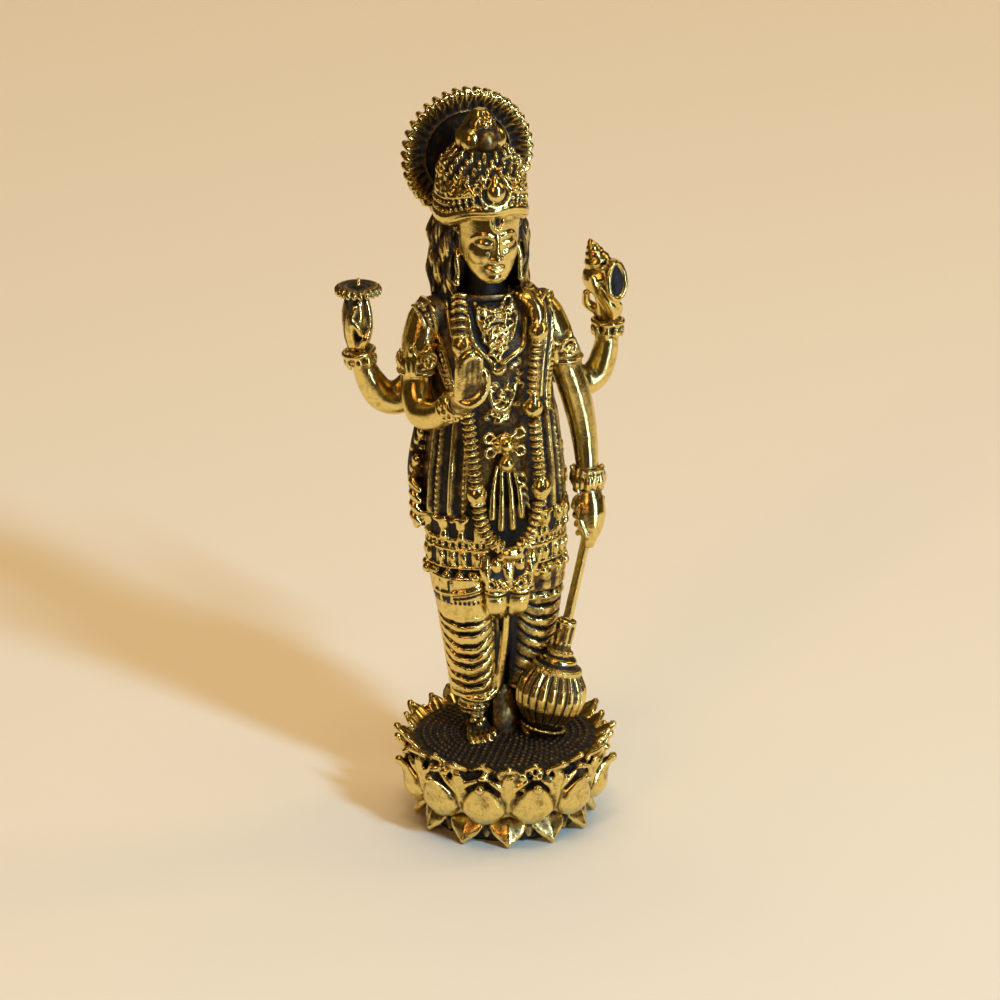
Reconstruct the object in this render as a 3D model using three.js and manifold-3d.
// A small solid-brass figure of Vishnu, cast in one piece with the double lotus that it stands on.
// Millimetres, +Z up. The origin is the middle of the lotus's flat underside and the figure faces -Y,
// so its own right hand is on the -X side.
import * as THREE from "three";
import { mergeVertices } from "three/addons/utils/BufferGeometryUtils.js";
import Module from "manifold-3d";

const wasm = await Module();
wasm.setup();

// The lotus plinth
const PLINTH_HEIGHT = 7.5; // underside to the seed pod's flat top
const POD_RADIUS = 7.3; // the flat top that the feet stand on
const FOOTING_RADIUS = 6.2; // flat underside
const PETALS = 12; // petals in each row; the inner row has twice as many
const OUTER_TIP_RADIUS = 10.0; // reach of the big bulging petals
const OUTER_TIP_HEIGHT = 6.1;
const OUTER_BULGE_RADIUS = 8.9;
const INNER_TIP_RADIUS = 9.6; // the small petals that show between the big ones
const INNER_TIP_RISE = 0.7; // above the pod's top
const RIM_TIP_RADIUS = 9.0; // the small petals behind the big ones
const LOWER_TIP_RADIUS = 7.9; // the turned-down petals at the ground
const LOWER_PETAL_THICKNESS = 1.3;

// The figure above the pod, from the soles to the top of the halo
const FIGURE_HEIGHT = 56.9;

// Places on the figure are written for this height, from the soles up, and scaled to FIGURE_HEIGHT.
// The body above the ankles is written in a frame of its own, which stands here over the feet.
const DRAWN_HEIGHT = 56.9;
const BODY_OVER_FEET = [0.45, 1.5, -0.6];
const SIZE = FIGURE_HEIGHT / DRAWN_HEIGHT;
const SOLE_SINK = 0.35; // how far the feet, the mace and the cloth tail run into the pod

const TURN = Math.PI * 2;
const FRONT = new THREE.Vector3(0, -1, 0);
const UP = new THREE.Vector3(0, 0, 1);

const point = (x = 0, y = 0, z = 0) => new THREE.Vector3(x, y, z);
const steps = (count) => Array.from({ length: count }, (_, i) => i);

// A closed body over a stack of rings that have equally many points. Each end is a fan to its middle.
function skin(rings) {
  const n = rings[0].length;
  const middle = (ring) => ring.reduce((sum, p) => sum.add(p), point()).divideScalar(n);
  const points = [...rings.flat(), middle(rings[0]), middle(rings.at(-1))];
  const last = (rings.length - 1) * n;
  const index = [];
  for (const i of steps(n)) {
    const next = (i + 1) % n;
    for (let row = 0; row < last; row += n)
      index.push(row + i, row + next, row + next + n, row + i, row + next + n, row + i + n);
    index.push(last + n, next, i, last + n + 1, last + i, last + next);
  }
  return new THREE.BufferGeometry().setFromPoints(points).setIndex(index);
}

// A level ring round (x, y): half widths wide and deep, angle 0 at the front and growing towards +X.
function ring({ x = 0, y = 0, z, wide, deep = wide, sides, shape = () => 1, lift = () => 0 }) {
  return steps(sides).map((i) => {
    const angle = (i / sides) * TURN;
    const out = shape(angle, i);
    return point(
      x + wide * out * Math.sin(angle),
      y - deep * out * Math.cos(angle),
      z + lift(angle, i),
    );
  });
}

// A limb along a smooth line through stops of [x, y, z, half width, half depth].
function limb(stops, { sides = 8, between = 1, facing = FRONT, swell = () => 1 } = {}) {
  const line = new THREE.CatmullRomCurve3(stops.map(([x, y, z]) => point(x, y, z)));
  const count = (stops.length - 1) * between;
  const rings = steps(count + 1).map((k) => {
    const i = Math.min(Math.floor(k / between), stops.length - 2);
    const share = k / between - i;
    const [, , , wide0, deep0 = wide0] = stops[i];
    const [, , , wide1, deep1 = wide1] = stops[i + 1];
    const onward = line.getTangent(k / count);
    const depth = facing.clone().projectOnPlane(onward).normalize();
    const width = onward.clone().cross(depth);
    const halfWidth = THREE.MathUtils.lerp(wide0, wide1, share) * swell(k);
    const halfDepth = THREE.MathUtils.lerp(deep0, deep1, share) * swell(k);
    return steps(sides).map((j) => {
      const angle = (j / sides) * TURN;
      return line
        .getPoint(k / count)
        .addScaledVector(depth, halfDepth * Math.cos(angle))
        .addScaledVector(width, halfWidth * Math.sin(angle));
    });
  });
  return skin(rings);
}

// A ball or egg with half sizes (rx, ry, rz).
function egg([x, y, z], [rx, ry, rz], wide = 6, high = 4) {
  return new THREE.SphereGeometry(1, wide, high)
    .rotateX(Math.PI / 2)
    .scale(rx, ry, rz)
    .translate(x, y, z);
}

// A turned body on the line from one point to another. The profile lists [share of the length, radius].
function turned(from, to, profile, sides, flute = () => 1) {
  const axis = to.clone().sub(from);
  const lie = new THREE.Quaternion().setFromUnitVectors(UP, axis.clone().normalize());
  const rings = profile.map(([share, wide]) =>
    ring({ z: share * axis.length(), wide, sides, shape: flute }),
  );
  return skin(rings).applyQuaternion(lie).translate(from.x, from.y, from.z);
}

// A row of petals drawn as one ring-shaped body. Each level gives [radius, height] at a petal's middle,
// at its shoulder and in the valley between two petals, or one pair for all the way round.
function petalRow(count, firstAngle, points, levels) {
  const rings = levels.map((level) => {
    const at = (i) => level.round ?? level[points[i % points.length]];
    return ring({
      z: 0,
      wide: 1,
      sides: count * points.length,
      shape: (_, i) => at(i)[0],
      lift: (_, i) => at(i)[1],
    });
  });
  return skin(rings).rotateZ(firstAngle);
}

const even = (radius, height) => ({ round: [radius, height] });

function lotus() {
  const pitch = TURN / PETALS;
  const top = PLINTH_HEIGHT;
  const lower = petalRow(PETALS, pitch / 2, ["middle", "valley"], [
    even(FOOTING_RADIUS, 0),
    { middle: [LOWER_TIP_RADIUS, 0.25], valley: [FOOTING_RADIUS + 0.3, 0.3] },
    {
      middle: [FOOTING_RADIUS + 1.1, LOWER_PETAL_THICKNESS],
      valley: [FOOTING_RADIUS, LOWER_PETAL_THICKNESS],
    },
    even(FOOTING_RADIUS - 0.4, LOWER_PETAL_THICKNESS + 0.7),
  ]);
  const outer = petalRow(PETALS, 0, ["middle", "shoulder", "valley", "shoulder"], [
    even(FOOTING_RADIUS - 0.6, 1.3),
    {
      middle: [OUTER_BULGE_RADIUS - 0.9, 1.9],
      shoulder: [OUTER_BULGE_RADIUS - 1.4, 2.1],
      valley: [OUTER_BULGE_RADIUS - 2.3, 2.2],
    },
    {
      middle: [OUTER_BULGE_RADIUS, 3.7],
      shoulder: [OUTER_BULGE_RADIUS - 0.4, 3.6],
      valley: [OUTER_BULGE_RADIUS - 1.5, 3.3],
    },
    {
      middle: [OUTER_TIP_RADIUS, OUTER_TIP_HEIGHT],
      shoulder: [OUTER_BULGE_RADIUS - 0.7, 5.1],
      valley: [OUTER_BULGE_RADIUS - 1.6, 4.1],
    },
    even(POD_RADIUS - 0.5, 4.6),
  ]);
  const inner = petalRow(PETALS, pitch / 2, ["middle", "valley", "behind", "valley"], [
    even(FOOTING_RADIUS - 0.6, 3.0),
    {
      middle: [POD_RADIUS + 1.3, 5.6],
      valley: [POD_RADIUS + 0.2, 5.6],
      behind: [POD_RADIUS + 0.6, 5.6],
    },
    {
      middle: [INNER_TIP_RADIUS, top + INNER_TIP_RISE],
      valley: [POD_RADIUS + 0.6, top - 0.5],
      behind: [RIM_TIP_RADIUS, top + INNER_TIP_RISE],
    },
    even(POD_RADIUS, top),
  ]);
  return [lower, outer, inner];
}

// One leg in its wrapped cloth. Every other ring stands proud, and the rings sag at the front, which
// makes the swags that hang across the thigh and shin. Stops are [x, y, z, half width, half depth].
function swaggedLeg(stops, { folds, sag, proud, sagAt }) {
  const count = folds * 2;
  const rings = steps(count + 1).map((k) => {
    const at = (k / count) * (stops.length - 1);
    const i = Math.min(Math.floor(at), stops.length - 2);
    const [x, y, z, wide, deep] = stops[i].map((v, j) =>
      THREE.MathUtils.lerp(v, stops[i + 1][j], at - i),
    );
    const out = k % 2 ? proud : 0;
    const ease = Math.min(1, (count - k) / 5, (k + 2) / 5);
    return ring({
      x,
      y,
      z,
      wide: wide + out,
      deep: deep + out,
      sides: 12,
      lift: (angle) => -sag * ease * Math.max(0, Math.cos(angle - sagAt)) ** 1.5,
    });
  });
  return skin(rings);
}

function legs() {
  const right = swaggedLeg(
    [
      [-2.85, -0.4, 4.8, 1.85, 1.9],
      [-3.3, -0.8, 8.5, 2.0, 2.2],
      [-3.8, -0.9, 12.5, 2.15, 2.5],
      [-3.7, -0.4, 16.2, 2.7, 3.0],
    ],
    { folds: 7, sag: 1.1, proud: 0.28, sagAt: 0.35 },
  );
  const left = swaggedLeg(
    [
      [1.8, 0.6, 4.8, 1.85, 1.8],
      [2.2, 0.4, 8.5, 2.1, 2.2],
      [2.4, 0.2, 12.5, 2.35, 2.5],
      [2.2, 0.0, 16.2, 2.7, 3.0],
    ],
    { folds: 7, sag: 1.1, proud: 0.28, sagAt: -0.35 },
  );
  const pleat = limb(
    [
      [-1.2, -1.3, 15, 0.6, 1.7],
      [-0.75, -1.4, 10, 0.65, 1.5],
      [-0.9, -1.1, 5.6, 0.55, 1.1],
      [-1.6, -0.8, 4.5, 0.35, 0.6],
    ],
    { sides: 6 },
  );
  return [right, left, pleat];
}

// A bare foot with an anklet, from [x, y] of the heel to [x, y] of the toes.
function foot([heelX, heelY], [toeX, toeY]) {
  const at = (share) => [
    THREE.MathUtils.lerp(heelX, toeX, share),
    THREE.MathUtils.lerp(heelY, toeY, share),
  ];
  const sole = limb(
    [
      [...at(0), 0.3, 0.75, 0.8],
      [...at(0.35), 0.75, 1.0, 1.15],
      [...at(0.75), 0.35, 1.3, 0.85],
      [...at(1), 0.15, 1.3, 0.55],
    ],
    { sides: 8, facing: UP },
  );
  const shin = limb(
    [
      [...at(0.2), 0.6, 1.0, 1.0],
      [...at(0.2), 1.9, 0.95, 1.0],
      [...at(0.21), 2.1, 1.3, 1.35],
      [...at(0.21), 2.9, 1.3, 1.35],
      [...at(0.2), 3.1, 0.95, 1.0],
      [...at(0.2), 5.8, 1.0, 1.0],
    ],
    { sides: 6 },
  );
  return [sole, shin];
}

const feet = () => [...foot([-2.2, 2.7], [-2.4, -1.9]), ...foot([2.1, 3.4], [2.8, -1.1])];

// The end of the cloth that hangs behind the legs and stands on the pod between the heels.
function clothTail() {
  return limb(
    [
      [-0.3, 3.0, 16, 3.6, 1.3],
      [-0.1, 3.2, 10, 2.6, 1.0],
      [0.2, 2.2, 4, 1.2, 0.8],
      [0.1, 1.5, -SOLE_SINK, 1.4, 0.7],
    ],
    { sides: 6 },
  );
}

// Hips with two raised belts, and the two hanging front panels.
function hipsAndBelts() {
  const belts = skin(
    [
      [14.8, 5.2, 3.4],
      [16.2, 5.7, 3.6],
      [16.5, 6.3, 4.0],
      [17.3, 6.3, 4.0],
      [17.6, 5.9, 3.7],
      [18.1, 6.3, 4.05],
      [19.4, 6.3, 4.05],
      [19.8, 5.8, 3.7],
      [21.2, 5.4, 3.4],
    ].map(([z, wide, deep]) => ring({ x: -0.8, z, wide, deep, sides: 16 })),
  );
  const panel = (x, lean) =>
    limb(
      [
        [x, -3.5, 19.2, 0.95, 0.5],
        [x + lean, -4.3, 16.5, 1.05, 0.6],
        [x + lean * 1.5, -4.4, 14.6, 1.2, 0.65],
        [x + lean * 1.9, -4.0, 12.9, 1.15, 0.5],
      ],
      { sides: 6 },
    );
  return [belts, panel(-1.95, 0.0), panel(0.35, 0.1)];
}

// The long pleated coat. Its front stands open in a shallow recess.
function coat() {
  const sides = 28;
  return skin(
    [
      [15.0, 4.6, 2.6, 0, 1.6],
      [19.9, 5.9, 3.6, 0.03, 0.9],
      [20.3, 6.4, 4.5, 0.05, 0.4],
      [25.0, 6.2, 4.5, 0.04, 0.4],
      [31.0, 5.5, 4.2, 0.03, 0.4],
      [36.5, 5.7, 4.0, 0.01, 0.2],
      [39.0, 5.7, 3.5, 0, 0.1],
      [41.2, 3.6, 2.2, 0, 0],
    ].map(([z, wide, deep, pleat, y]) =>
      ring({
        x: -1.15,
        y,
        z,
        wide,
        deep,
        sides,
        shape: (angle, i) => {
          const fromFront = Math.min(angle, TURN - angle);
          return fromFront < 0.6 ? 0.86 : 1 + (i % 2 ? pleat : -pleat);
        },
      }),
    ),
  );
}

function shawl() {
  const knobbly = (k) => (k % 2 ? 1.2 : 0.85);
  const rightEdge = limb(
    [
      [-5.6, 1.6, 35, 0.9, 0.8],
      [-6.6, 1.9, 30, 1.1, 0.8],
      [-7.4, 2.0, 25, 1.1, 0.8],
      [-7.1, 1.9, 20, 0.8, 0.7],
    ],
    { sides: 6, between: 2, swell: knobbly },
  );
  const leftEdge = limb(
    [
      [2.5, 1.6, 35, 0.9, 0.8],
      [3.7, 1.9, 29.5, 1.1, 0.8],
      [5.1, 2.0, 24, 1.1, 0.8],
      [5.0, 1.8, 16.5, 0.8, 0.7],
    ],
    { sides: 6, between: 2, swell: knobbly },
  );
  const shoulders = limb(
    [
      [-8.25, -0.1, 40.1, 0.5, 0.25],
      [-5.8, -0.3, 40.5, 2.3, 0.75],
      [-1.9, -0.2, 41.5, 2.2, 0.8],
      [2.0, -0.3, 40.3, 2.2, 0.75],
      [4.2, -0.1, 39.8, 0.5, 0.25],
    ],
    { sides: 6, facing: UP },
  );
  return [rightEdge, leftEdge, shoulders];
}

// The necklace and its pendants, the belt's rosette with the ball below it, and the fan of strands.
function chestAndKnot() {
  const necklace = skin(
    [
      [35.2, 0.35, 0.3],
      [36.2, 1.3, 0.85],
      [38.2, 1.95, 1.1],
      [41.2, 2.0, 0.9],
    ].map(([z, wide, deep]) => ring({ x: -1.7, y: -2.9, z, wide, deep, sides: 8 })),
  );
  const pendants = [
    egg([-1.75, -3.55, 34.7], [0.6, 0.55, 0.7], 5, 3),
    egg([-1.6, -3.4, 32.3], [1.2, 0.5, 0.9], 6, 3),
  ];
  const rosette = turned(
    point(-1.35, -3.0, 28.7),
    point(-1.35, -4.6, 28.7),
    [
      [0, 1.3],
      [0.65, 1.3],
      [0.75, 0.8],
      [1, 0.55],
    ],
    8,
    (angle) => 1 + 0.35 * Math.cos(4 * angle) ** 2,
  );
  const ball = egg([-1.3, -4.0, 26.9], [0.75, 0.75, 0.75]);
  const fan = skin(
    [
      [20.6, 1.9, 0.55],
      [21.4, 1.95, 0.7],
      [24.0, 1.4, 0.75],
      [26.8, 0.6, 0.6],
    ].map(([z, wide, deep]) =>
      ring({
        x: -1.15,
        y: -3.5,
        z,
        wide,
        deep,
        sides: 12,
        shape: (_, i) => (i % 2 ? 1.12 : 0.85),
      }),
    ),
  );
  return [necklace, ...pendants, rosette, ball, fan];
}

// The garland hangs from the shoulders to below the waist and swells into a bead at five places.
function garland() {
  const cord = 0.55;
  const beadRadius = 0.95;
  const beadLength = 0.75;
  const bead = (x, y, z) => [
    [x, y, z + beadLength, cord],
    [x, y, z, beadRadius],
    [x, y, z - beadLength, cord],
  ];
  const upwards = (rows) => [...rows].reverse();
  return limb(
    [
      [-4.4, -1.2, 41.0, cord],
      [-5.0, -3.2, 39.4, cord],
      ...bead(-5.05, -4.0, 37.6),
      [-4.9, -4.3, 34.0, cord],
      [-4.5, -4.5, 30.0, cord],
      [-4.2, -4.6, 27.0, cord],
      ...bead(-3.9, -4.7, 24.3),
      [-3.4, -4.8, 21.4, cord],
      [-2.4, -4.8, 19.5, cord],
      [-0.95, -4.85, 18.9, cord],
      [0.6, -4.8, 19.6, cord],
      [1.5, -4.8, 21.7, cord],
      ...upwards(bead(1.8, -4.7, 24.2)),
      [1.4, -4.6, 28.0, cord],
      ...upwards(bead(1.1, -4.4, 31.8)),
      [1.4, -4.2, 35.0, cord],
      ...upwards(bead(1.7, -3.9, 38.2)),
      [1.2, -3.0, 40.3, cord],
      [0.6, -1.2, 41.2, cord],
    ],
    { sides: 5 },
  );
}

// A hand's slender parts: each row is the stops of one finger.
const fingers = (rows) => rows.map((stops) => limb(stops, { sides: 5 }));

function raisedRightArm() {
  const arm = limb(
    [
      [-6.4, 0.4, 40.0, 1.2, 1.3],
      [-7.1, 0.3, 38.0, 1.55, 1.6],
      [-7.6, 0.1, 35.9, 1.5, 1.55],
      [-7.65, 0.1, 35.6, 1.8, 1.85],
      [-7.7, 0.0, 34.8, 1.8, 1.85],
      [-7.75, 0.0, 34.5, 1.4, 1.45],
      [-7.95, -0.6, 32.2, 1.35, 1.4],
      [-7.75, -1.7, 31.0, 1.35, 1.35],
      [-7.0, -4.0, 31.8, 1.2, 1.2],
      [-6.2, -5.7, 33.0, 1.0, 1.0],
      [-5.8, -6.4, 33.9, 1.05, 0.85],
    ],
    { sides: 8 },
  );
  const hand = limb(
    [
      [-5.75, -6.5, 33.2, 0.8, 0.6],
      [-5.4, -7.1, 34.5, 1.4, 0.8],
      [-5.45, -7.3, 36.2, 1.35, 0.6],
      [-5.5, -7.5, 37.6, 1.3, 0.42],
      [-5.6, -7.7, 38.6, 0.8, 0.3],
    ],
    { sides: 8 },
  );
  const thumb = fingers([
    [
      [-4.7, -7.2, 34.4, 0.55],
      [-4.15, -7.7, 35.6, 0.42],
      [-4.35, -7.9, 36.6, 0.25],
    ],
  ]);
  return [arm, hand, ...thumb];
}

function loweredLeftArm() {
  return [
    limb(
      [
        [2.9, 0.3, 39.6, 1.2, 1.3],
        [4.1, 0.3, 37.4, 1.45, 1.55],
        [4.75, 0.2, 35.6, 1.45, 1.5],
        [4.85, 0.2, 35.3, 1.75, 1.8],
        [5.15, 0.1, 34.5, 1.75, 1.8],
        [5.3, 0.1, 34.2, 1.35, 1.4],
        [6.3, 0.0, 31.0, 1.3, 1.35],
        [6.9, -0.1, 28.0, 1.2, 1.25],
        [7.15, -0.6, 25.2, 1.0, 1.05],
        [7.15, -0.85, 24.0, 0.9, 0.95],
        [7.15, -0.9, 23.75, 1.35, 1.35],
        [7.2, -1.2, 22.6, 1.35, 1.35],
        [7.2, -1.25, 22.3, 0.85, 0.85],
        [7.2, -1.6, 20.7, 1.2, 1.2],
        [7.1, -1.8, 19.2, 1.0, 1.15],
        [6.85, -2.1, 17.5, 0.45, 0.55],
      ],
      { sides: 8 },
    ),
  ];
}

function rearArms() {
  const right = limb(
    [
      [-6.2, 1.7, 36.8, 1.1, 1.1],
      [-7.4, 2.4, 32.8, 1.3, 1.3],
      [-9.0, 3.2, 30.7, 1.4, 1.4],
      [-10.6, 3.2, 32.0, 1.3, 1.3],
      [-11.7, 3.0, 34.0, 1.05, 1.0],
      [-11.8, 3.0, 34.3, 1.35, 1.3],
      [-12.1, 3.0, 35.1, 1.3, 1.25],
      [-12.15, 3.0, 35.4, 0.85, 0.8],
      [-12.35, 3.0, 37.3, 1.05, 0.9],
      [-12.35, 3.0, 38.9, 0.85, 0.8],
      [-12.1, 3.0, 40.6, 0.7, 0.7],
    ],
    { sides: 7 },
  );
  const left = limb(
    [
      [4.2, 1.7, 36.5, 1.1, 1.1],
      [6.0, 2.4, 32.6, 1.25, 1.3],
      [8.2, 3.1, 30.5, 1.25, 1.3],
      [9.6, 3.2, 31.8, 1.2, 1.25],
      [10.05, 3.0, 34.1, 1.05, 1.05],
      [10.1, 3.0, 34.4, 1.35, 1.3],
      [10.2, 3.0, 35.7, 1.35, 1.3],
      [10.2, 3.0, 36.0, 0.9, 0.8],
      [10.1, 2.9, 38.0, 1.1, 0.9],
      [9.9, 2.9, 39.5, 0.8, 0.6],
    ],
    { sides: 7 },
  );
  return [right, left];
}

function discInHand() {
  const disc = turned(
    point(-12.05, 3.0, 40.4),
    point(-12.05, 3.0, 42.2),
    [
      [0, 0.8],
      [0.1, 1.6],
      [0.32, 2.05],
      [0.6, 1.95],
      [0.45, 0.9],
      [0.6, 0.45],
      [1, 0.12],
    ],
    16,
    (angle) => 1 + 0.05 * Math.cos(8 * angle),
  );
  const grip = fingers(
    [-0.7, 0.7].map((side) => [
      [-12.4 + side * 0.9, 2.3, 37.4, 0.42],
      [-12.35 + side * 1.15, 2.0, 38.6, 0.4],
      [-12.25 + side * 0.9, 2.3, 39.9, 0.28],
    ]),
  );
  return [disc, ...grip];
}

function conchInHand() {
  const whorl = turned(
    point(10.5, 2.7, 37.2),
    point(8.45, 3.0, 43.6),
    [
      [0, 0.35],
      [0.16, 0.9],
      [0.34, 1.6],
      [0.5, 1.75],
      [0.62, 1.35],
      [0.66, 1.1],
      [0.73, 1.15],
      [0.8, 0.8],
      [0.84, 0.65],
      [0.9, 0.6],
      [1, 0.12],
    ],
    8,
  );
  const lip = limb(
    [
      [10.7, 1.9, 38.2, 0.3],
      [11.2, 1.5, 39.6, 0.4],
      [11.1, 1.5, 41.2, 0.4],
      [10.2, 1.7, 41.9, 0.25],
    ],
    { sides: 5 },
  );
  const grip = fingers(
    steps(2).map((i) => [
      [10.2 - i * 1.1, 2.3, 37.4, 0.5],
      [9.7 - i * 0.9, 1.5, 38.6, 0.45],
      [9.5 - i * 0.8, 1.4, 39.9, 0.3],
    ]),
  );
  return [whorl, lip, ...grip];
}

function mace() {
  const flutes = 11;
  const bottom = point(3.0, -1.2, -SOLE_SINK);
  const top = point(7.35, -0.45, 18.4);
  const at = (share) => bottom.clone().lerp(top, share);
  const fluted = turned(
    at(0.07),
    at(0.37),
    [
      [0, 1.3],
      [0.15, 2.2],
      [0.4, 2.75],
      [0.62, 2.75],
      [0.85, 2.1],
      [1, 1.4],
    ],
    flutes * 2,
    (angle) => 1 + 0.035 * Math.cos(flutes * angle),
  );
  const shaft = turned(
    bottom,
    top,
    [
      [0, 1.0],
      [0.06, 1.6],
      [0.09, 1.6],
      [0.33, 1.9],
      [0.365, 2.0],
      [0.39, 1.5],
      [0.425, 0.9],
      [0.48, 0.8],
      [0.56, 0.8],
      [0.57, 0.45],
      [1, 0.42],
    ],
    8,
  );
  return [fluted, shaft];
}

function head() {
  const skull = skin(
    [
      [42.8, 0.5, 0.45, -3.5],
      [43.4, 1.15, 1.2, -3.0],
      [44.6, 2.0, 2.2, -2.1],
      [46.2, 2.6, 2.8, -1.6],
      [48.0, 2.8, 3.1, -1.4],
      [50.0, 2.7, 3.0, -1.2],
    ].map(([z, wide, deep, y]) => ring({ x: -2.05, y, z, wide, deep, sides: 12 })),
  );
  const neck = turned(
    point(-1.9, 0.2, 40.5),
    point(-2.0, -0.4, 45),
    [
      [0, 1.9],
      [1, 1.6],
    ],
    8,
  );
  const nose = limb(
    [
      [-2.05, -4.3, 47.2, 0.26, 0.3],
      [-2.05, -4.7, 45.7, 0.5, 0.45],
      [-2.05, -4.2, 45.3, 0.35, 0.35],
    ],
    { sides: 5 },
  );
  const ears = [-1, 1].map((side) =>
    egg([-2.1 + side * 2.65, -1.3, 46.0], [0.4, 0.5, 1.2], 5, 4),
  );
  return [skull, neck, nose, ...ears];
}

function hair() {
  const fall = skin(
    [
      [34.5, 2.0, 1.0, 3.4],
      [37.5, 3.3, 1.6, 2.6],
      [41.0, 3.9, 1.9, 1.9],
      [44.5, 3.7, 2.2, 1.3],
      [48.5, 3.3, 2.4, 1.0],
    ].map(([z, wide, deep, y]) =>
      ring({ x: -2.0, y, z, wide, deep, sides: 12, shape: (_, i) => (i % 2 ? 1.06 : 0.94) }),
    ),
  );
  const lock = (stops) => limb(stops, { sides: 6 });
  return [
    fall,
    lock([
      [-5.2, -0.3, 48.0, 0.5, 0.9],
      [-6.0, -0.3, 45.6, 0.6, 1.0],
      [-5.7, -0.3, 43.2, 0.6, 1.0],
      [-6.2, -0.3, 40.6, 0.6, 0.9],
    ]),
    lock([
      [0.6, -0.3, 48.0, 0.5, 0.9],
      [1.4, -0.3, 45.6, 0.55, 1.0],
      [1.4, -0.3, 43.2, 0.6, 1.0],
      [2.3, -0.3, 40.6, 0.6, 0.9],
    ]),
  ];
}

function crown() {
  const sides = 14;
  const cap = skin(
    [
      [47.9, 3.3, 3.6, 0],
      [48.2, 3.9, 4.2, 0],
      [49.1, 3.95, 4.25, 0],
      [49.3, 3.7, 4.0, 0],
      [51.4, 3.5, 3.7, -0.04],
      [52.6, 2.95, 3.05, 0.03],
      [53.5, 2.35, 2.4, -0.02],
      [53.7, 2.1, 2.1, 0],
      [55.3, 2.1, 2.1, 0],
      [55.5, 1.5, 1.5, 0],
      [56.6, 1.0, 1.0, 0],
      [57.1, 0.4, 0.4, 0],
    ].map(([z, wide, deep, lobe]) =>
      ring({
        x: -2.35,
        y: -0.6,
        z,
        wide,
        deep,
        sides,
        shape: (_, i) => 1 + (i % 2 ? lobe : -lobe),
        lift: (angle) => (z < 50 ? -1.1 * Math.sin(angle / 2) ** 2 : 0),
      }),
    ),
  );
  const gem = egg([-2.2, -4.6, 50.9], [0.95, 0.7, 1.2]);
  return [cap, gem];
}

// The halo is a shallow dish behind the crown, with a fluted rim.
function halo() {
  const radius = 5.6;
  const flutes = 20;
  const centreHeight = DRAWN_HEIGHT - BODY_OVER_FEET[2] - radius * 1.012;
  const dish = turned(
    point(-2.1, 5.0, centreHeight),
    point(-2.1, 3.5, centreHeight),
    [
      [0, 4.2],
      [0.4, radius],
      [0.9, radius],
      [1, radius - 0.6],
      [0.6, radius - 1.7],
    ],
    flutes * 2,
    (angle) => 1 + 0.012 * Math.cos(flutes * angle),
  );
  const stub = turned(
    point(-2.3, 1.5, 50.2),
    point(-2.2, 4.8, centreHeight),
    [
      [0, 1.6],
      [1, 1.6],
    ],
    8,
  );
  return [dish, stub];
}

const bodyParts = () => [
  ...legs(),
  ...hipsAndBelts(),
  coat(),
  ...shawl(),
  ...chestAndKnot(),
  garland(),
  ...raisedRightArm(),
  ...loweredLeftArm(),
  ...rearArms(),
  ...discInHand(),
  ...conchInHand(),
  ...head(),
  ...hair(),
  ...crown(),
  ...halo(),
];

// A closed geometry as a solid that can be joined to others, whichever way round its faces were made.
function solid(geometry) {
  const bare = geometry.clone();
  for (const name of ["normal", "uv"]) bare.deleteAttribute(name);
  const merged = mergeVertices(bare, 1e-4);
  const position = merged.attributes.position;
  const triVerts = new Uint32Array(merged.index.array);
  const corners = [point(), point(), point()];
  let volume = 0;
  for (let i = 0; i < triVerts.length; i += 3) {
    corners.forEach((corner, k) => corner.fromBufferAttribute(position, triVerts[i + k]));
    volume += corners[0].dot(corners[1].cross(corners[2]));
  }
  if (volume < 0) triVerts.reverse();
  return new wasm.Manifold(
    new wasm.Mesh({ numProp: 3, vertProperties: position.array, triVerts }),
  );
}

function castInOne(geometries) {
  const whole = geometries.map(solid).reduce((sum, next) => sum.add(next));
  const { vertProperties, triVerts } = whole.getMesh();
  const geometry = new THREE.BufferGeometry();
  geometry.setAttribute("position", new THREE.BufferAttribute(vertProperties, 3));
  geometry.setIndex(new THREE.BufferAttribute(triVerts, 1));
  geometry.computeVertexNormals();
  return geometry;
}

const agedBrass = new THREE.MeshStandardMaterial({
  color: 0xa98436,
  roughness: 0.35,
  metalness: 1,
});

const body = bodyParts().map((part) => part.translate(...BODY_OVER_FEET));
const figure = [...feet(), clothTail(), ...mace(), ...body].map((part) =>
  part.scale(SIZE, SIZE, SIZE).translate(0, 0, PLINTH_HEIGHT),
);
const statue = new THREE.Mesh(castInOne([...lotus(), ...figure]), agedBrass);
statue.name = "vishnu_figure";

const group = new THREE.Group();
group.add(statue);
export default group;
